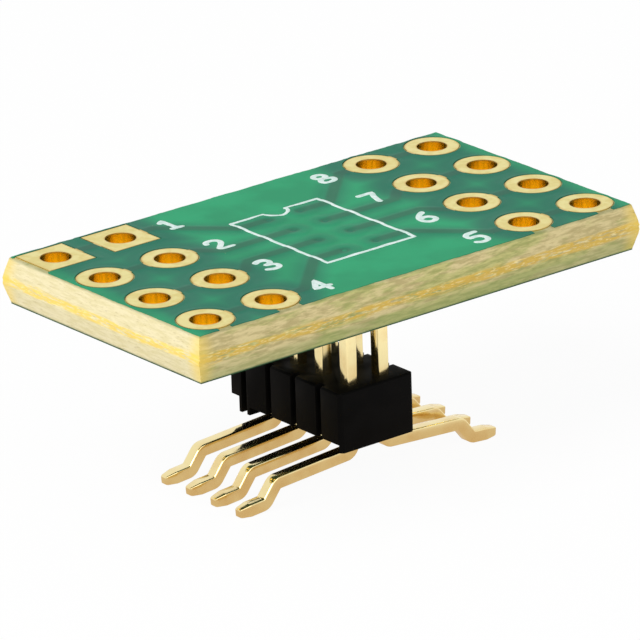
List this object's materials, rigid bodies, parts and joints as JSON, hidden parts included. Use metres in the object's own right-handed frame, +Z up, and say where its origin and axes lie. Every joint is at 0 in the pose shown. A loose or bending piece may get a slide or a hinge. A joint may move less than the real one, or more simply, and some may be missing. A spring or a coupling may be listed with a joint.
{
  "type": "ic programming adapter",
  "caption": "Green adapter board with two grids of plated holes on a black pin header whose gold legs bend out to chip lands.",
  "frame": {"origin": "centre of the bounding box's base, on the plane of the feet's soles", "axes": "+X along the board's length, +Y towards the row of holes 1 and 8, +Z up through the board"},
  "size_m": [0.0178, 0.01, 0.0078],
  "materials": {
    "laminate": "matte, fibrous",
    "mask_green": "semi-gloss",
    "pad_gold": "gold flash on copper",
    "contact_gold": "satin gold plate",
    "solder": "bright solder",
    "insulator_black": "matte"
  },
  "bodies": {
    "root": {"laminate": "laminate", "solder_mask_top": "mask_green", "solder_mask_bottom": "mask_green", "header_insulator": "insulator_black", "copper_net_1": "pad_gold", "copper_net_2": "pad_gold", "copper_net_3": "pad_gold", "copper_net_4": "pad_gold", "copper_net_5": "pad_gold", "copper_net_6": "pad_gold", "copper_net_7": "pad_gold", "copper_net_8": "pad_gold", "contact_1": "contact_gold", "contact_2": "contact_gold", "contact_3": "contact_gold", "contact_4": "contact_gold", "contact_5": "contact_gold", "contact_6": "contact_gold", "contact_7": "contact_gold", "contact_8": "contact_gold", "solder_joint_1": "solder", "solder_joint_2": "solder", "solder_joint_3": "solder", "solder_joint_4": "solder", "solder_joint_5": "solder", "solder_joint_6": "solder", "solder_joint_7": "solder", "solder_joint_8": "solder"}
  },
  "joints": []
}
